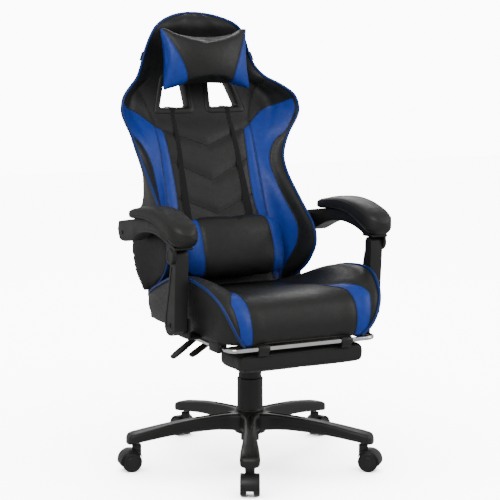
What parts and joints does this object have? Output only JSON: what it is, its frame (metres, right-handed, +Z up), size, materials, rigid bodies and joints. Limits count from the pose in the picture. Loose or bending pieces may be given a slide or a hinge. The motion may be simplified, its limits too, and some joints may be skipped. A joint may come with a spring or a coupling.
{
  "type": "gaming chair",
  "caption": "Reclining racing-style gaming chair on a five-star caster base, with linked armrests, two pillows and a pull-out footrest.",
  "frame": {"origin": "on the floor, under the middle of the footprint", "axes": "+Z up, -Y the way the sitter faces, +X the sitter's left"},
  "size_m": [0.7042, 0.7624, 1.215],
  "materials": {
    "caster_tread": "smooth black nylon tread",
    "steel": "ground steel",
    "chrome_rail": "polished chrome plate",
    "plywood": "raw plywood",
    "painted_steel": "black powder coat",
    "back_leather": "black and blue grained synthetic leather",
    "seat_leather": "black and blue grained synthetic leather",
    "pillow_leather": "blue and black grained synthetic leather",
    "arm_pad": "soft black moulded polyurethane",
    "footrest_leather": "black grained synthetic leather",
    "base_nylon": "satin black moulded nylon",
    "black_plastic": "satin black moulded plastic"
  },
  "bodies": {
    "base": {"star_base": "base_nylon", "gas_column_tube": "steel", "thrust_bearing": "steel", "column_cover_lower": "black_plastic", "caster_stem_1": "steel", "caster_stem_2": "steel", "caster_stem_3": "steel", "caster_stem_4": "steel", "caster_stem_5": "steel"},
    "rod": {"piston_rod": "steel"},
    "lift": {"gas_cylinder": "steel", "column_cover_upper": "black_plastic", "mechanism_housing": "painted_steel", "tilt_spring": "steel"},
    "height_lever": {"height_lever": "black_plastic"},
    "tension_knob": {"tension_knob": "black_plastic"},
    "seat": {"seat_plate": "painted_steel", "seat_pan": "plywood", "seat_cushion": "seat_leather", "arm_bracket_left": "painted_steel", "arm_bracket_right": "painted_steel", "recline_bracket_left": "painted_steel", "recline_bracket_right": "painted_steel", "rail_guide_left": "black_plastic", "rail_guide_right": "black_plastic"},
    "recline_lever": {"recline_lever": "black_plastic"},
    "footrest_slide": {"footrest_frame": "chrome_rail"},
    "footrest_flip": {"footrest_pad": "footrest_leather"},
    "backrest": {"back_cushion": "back_leather", "back_frame": "painted_steel", "belt_bezel_left": "black_plastic", "belt_bezel_right": "black_plastic", "head_pillow": "pillow_leather", "lumbar_pillow": "pillow_leather"},
    "arm_left": {"arm_frame_left": "black_plastic", "arm_pad_left": "arm_pad"},
    "arm_right": {"arm_frame_right": "black_plastic", "arm_pad_right": "arm_pad"},
    "post_left": {"arm_post_left": "black_plastic"},
    "post_right": {"arm_post_right": "black_plastic"},
    "caster_1": {"caster_hood_1": "black_plastic"},
    "wheels_1": {"caster_axle_1": "steel", "caster_wheel_1_a": "caster_tread", "caster_wheel_1_b": "caster_tread"},
    "caster_2": {"caster_hood_2": "black_plastic"},
    "wheels_2": {"caster_axle_2": "steel", "caster_wheel_2_a": "caster_tread", "caster_wheel_2_b": "caster_tread"},
    "caster_3": {"caster_hood_3": "black_plastic"},
    "wheels_3": {"caster_axle_3": "steel", "caster_wheel_3_a": "caster_tread", "caster_wheel_3_b": "caster_tread"},
    "caster_4": {"caster_hood_4": "black_plastic"},
    "wheels_4": {"caster_axle_4": "steel", "caster_wheel_4_a": "caster_tread", "caster_wheel_4_b": "caster_tread"},
    "caster_5": {"caster_hood_5": "black_plastic"},
    "wheels_5": {"caster_axle_5": "steel", "caster_wheel_5_a": "caster_tread", "caster_wheel_5_b": "caster_tread"}
  },
  "joints": [
    {"name": "swivel", "type": "hinge", "parent": "base", "child": "rod", "pos_m": [0.0132, -0.0449, 0.07], "axis": [0, 0, 1], "continuous": true},
    {"name": "seat_height", "type": "slide", "parent": "rod", "child": "lift", "axis": [0, 0, 1], "range_m": [-0.03, 0.05]},
    {"name": "height_lever_pull", "type": "hinge", "parent": "lift", "child": "height_lever", "pos_m": [-0.035, -0.0749, 0.35], "axis": [0, 1, 0], "range_deg": [0, 6], "stiffness_Nm_per_rad": 2, "springref_deg": -11.46},
    {"name": "tension_knob_turn", "type": "hinge", "parent": "lift", "child": "tension_knob", "pos_m": [0.0132, -0.1349, 0.3], "axis": [0, 0, 1], "range_deg": [-720, 720]},
    {"name": "seat_tilt", "type": "hinge", "parent": "lift", "child": "seat", "pos_m": [0.0132, -0.1049, 0.352], "axis": [-1, 0, 0], "range_deg": [0, 12], "stiffness_Nm_per_rad": 150, "springref_deg": -17.19},
    {"name": "recline_lever_pull", "type": "hinge", "parent": "seat", "child": "recline_lever", "pos_m": [-0.0753, -0.0309, 0.387], "axis": [0, -1, 0], "range_deg": [0, 8], "stiffness_Nm_per_rad": 2, "springref_deg": -11.46},
    {"name": "recline", "type": "hinge", "parent": "seat", "child": "backrest", "pos_m": [0.0132, 0.1191, 0.453], "axis": [-1, 0, 0], "range_deg": [-12, 30]},
    {"name": "footrest_pull", "type": "slide", "parent": "seat", "child": "footrest_slide", "axis": [0, -1, 0], "range_m": [0, 0.25]},
    {"name": "footrest_turn", "type": "hinge", "parent": "footrest_slide", "child": "footrest_flip", "pos_m": [0.0132, -0.3479, 0.375], "axis": [-1, 0, 0], "range_deg": [0, 180]},
    {"name": "arm_left_hinge", "type": "hinge", "parent": "backrest", "child": "arm_left", "pos_m": [0.2982, 0.0941, 0.634], "axis": [-1, 0, 0], "range_deg": [-30, 12]},
    {"name": "post_left_hinge", "type": "hinge", "parent": "seat", "child": "post_left", "pos_m": [0.2982, -0.1869, 0.422], "axis": [-1, 0, 0], "range_deg": [-12, 30]},
    {"name": "arm_right_hinge", "type": "hinge", "parent": "backrest", "child": "arm_right", "pos_m": [-0.2718, 0.0941, 0.634], "axis": [-1, 0, 0], "range_deg": [-30, 12]},
    {"name": "post_right_hinge", "type": "hinge", "parent": "seat", "child": "post_right", "pos_m": [-0.2718, -0.1869, 0.422], "axis": [-1, 0, 0], "range_deg": [-12, 30]},
    {"name": "caster_1_swivel", "type": "hinge", "parent": "base", "child": "caster_1", "pos_m": [-0.13364, -0.32697, 0.06], "axis": [0, 0, 1], "continuous": true},
    {"name": "wheels_1_spin", "type": "hinge", "parent": "caster_1", "child": "wheels_1", "pos_m": [-0.14149, -0.34205, 0.027], "axis": [0.887, -0.4617, 0], "continuous": true},
    {"name": "caster_2_swivel", "type": "hinge", "parent": "base", "child": "caster_2", "pos_m": [0.23609, -0.27171, 0.06], "axis": [0, 0, 1], "continuous": true},
    {"name": "wheels_2_spin", "type": "hinge", "parent": "caster_2", "child": "wheels_2", "pos_m": [0.248, -0.28384, 0.027], "axis": [0.7133, 0.7009, 0], "continuous": true},
    {"name": "caster_3_swivel", "type": "hinge", "parent": "base", "child": "caster_3", "pos_m": [0.29779, 0.09699, 0.06], "axis": [0, 0, 1], "continuous": true},
    {"name": "wheels_3_spin", "type": "hinge", "parent": "caster_3", "child": "wheels_3", "pos_m": [0.313, 0.10458, 0.027], "axis": [-0.4462, 0.8949, 0], "continuous": true},
    {"name": "caster_4_swivel", "type": "hinge", "parent": "base", "child": "caster_4", "pos_m": [-0.0338, 0.26961, 0.06], "axis": [0, 0, 1], "continuous": true},
    {"name": "wheels_4_spin", "type": "hinge", "parent": "caster_4", "child": "wheels_4", "pos_m": [-0.03632, 0.28642, 0.027], "axis": [-0.989, -0.1478, 0], "continuous": true},
    {"name": "caster_5_swivel", "type": "hinge", "parent": "base", "child": "caster_5", "pos_m": [-0.30044, 0.00759, 0.06], "axis": [0, 0, 1], "continuous": true},
    {"name": "wheels_5_spin", "type": "hinge", "parent": "caster_5", "child": "wheels_5", "pos_m": [-0.31721, 0.01039, 0.027], "axis": [-0.165, -0.9863, 0], "continuous": true}
  ],
  "couplings": [
    {"joint": "arm_left_hinge", "follows": "recline", "ratio": -1},
    {"joint": "post_left_hinge", "follows": "recline", "ratio": 1},
    {"joint": "arm_right_hinge", "follows": "recline", "ratio": -1},
    {"joint": "post_right_hinge", "follows": "recline", "ratio": 1}
  ]
}
